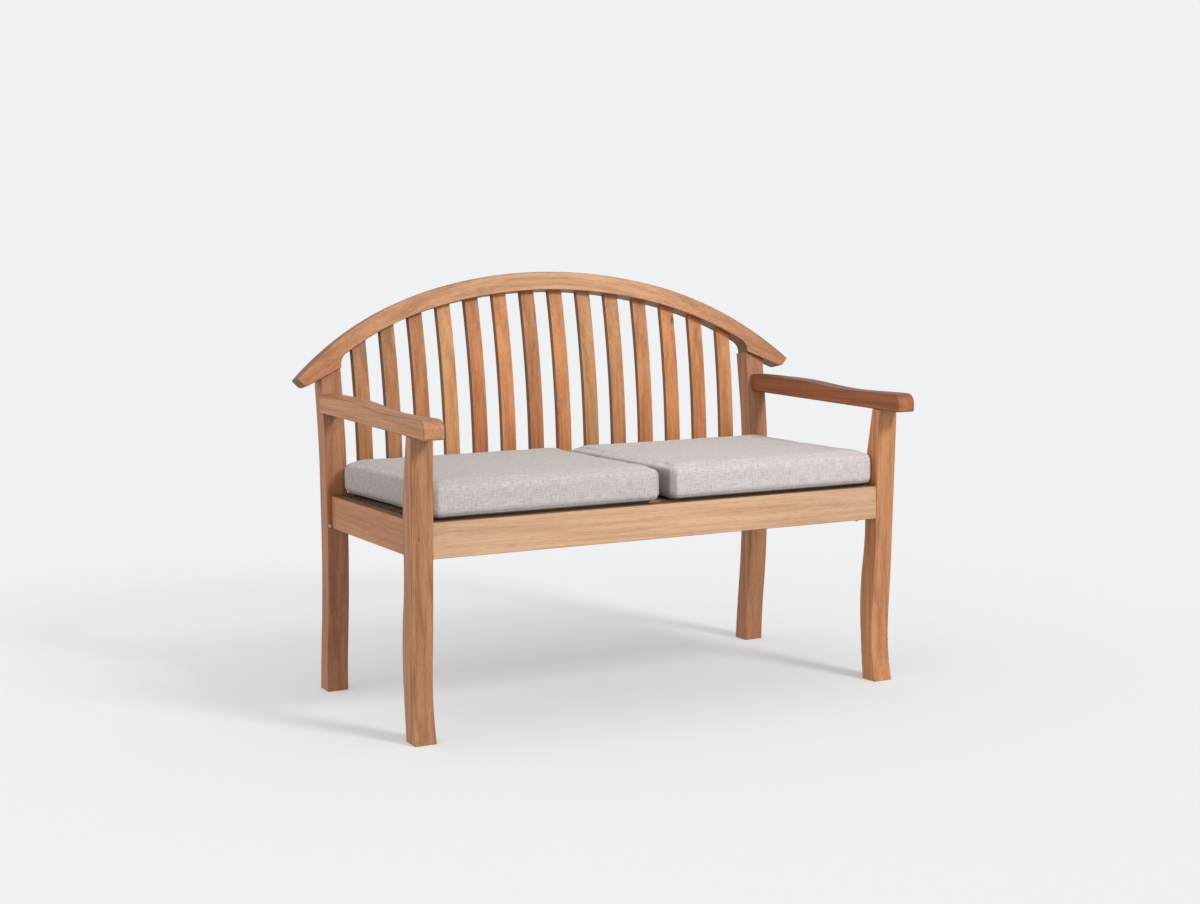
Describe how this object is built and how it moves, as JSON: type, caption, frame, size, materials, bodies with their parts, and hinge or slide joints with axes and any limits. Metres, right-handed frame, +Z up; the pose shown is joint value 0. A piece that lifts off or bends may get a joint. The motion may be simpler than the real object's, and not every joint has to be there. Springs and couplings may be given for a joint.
{
  "type": "garden loveseat",
  "caption": "Wooden garden bench seat for two with a slatted, bowed back under an arched crest rail, scrolled arms, curved legs and loose seat cushions.",
  "frame": {"origin": "on the floor under the middle of the bench's outer box", "axes": "+Z up, +Y to the rear, +X along the bench, to the right for a person who faces its front"},
  "size_m": [1.3076, 0.732, 0.9596],
  "materials": {
    "teak": "oiled satin",
    "cushion_fabric": "heathered light taupe weave",
    "steel": "satin"
  },
  "bodies": {
    "frame": {"arm_left": "teak", "arm_right": "teak", "back_post_left": "teak", "back_post_right": "teak", "back_slat_01": "teak", "back_slat_02": "teak", "back_slat_03": "teak", "back_slat_04": "teak", "back_slat_05": "teak", "back_slat_06": "teak", "back_slat_07": "teak", "back_slat_08": "teak", "back_slat_09": "teak", "back_slat_10": "teak", "back_slat_11": "teak", "back_slat_12": "teak", "back_slat_13": "teak", "back_slat_14": "teak", "centre_bearer": "teak", "corner_block_front_left": "teak", "corner_block_front_right": "teak", "corner_block_rear_left": "teak", "corner_block_rear_right": "teak", "corner_bolts": "steel", "corner_nuts": "steel", "corner_washers": "steel", "crest_rail": "teak", "front_leg_left": "teak", "front_leg_right": "teak", "front_seat_rail": "teak", "lower_back_rail": "teak", "post_screws": "steel", "rear_seat_rail": "teak", "seat_screws": "steel", "seat_slat_1": "teak", "seat_slat_2": "teak", "seat_slat_3": "teak", "seat_slat_4": "teak", "seat_slat_5": "teak", "seat_slat_6": "teak", "seat_slat_7": "teak", "seat_slat_8": "teak", "side_cleat_left": "teak", "side_cleat_right": "teak", "side_rail_left": "teak", "side_rail_right": "teak"},
    "cushion_left": {"cushion_left": "cushion_fabric"},
    "cushion_right": {"cushion_right": "cushion_fabric"}
  },
  "joints": [
    {"name": "cushion_left_lift", "type": "slide", "parent": "frame", "child": "cushion_left", "axis": [0, 0, 1], "range_m": [0, 0.3]},
    {"name": "cushion_right_lift", "type": "slide", "parent": "frame", "child": "cushion_right", "axis": [0, 0, 1], "range_m": [0, 0.3]}
  ]
}
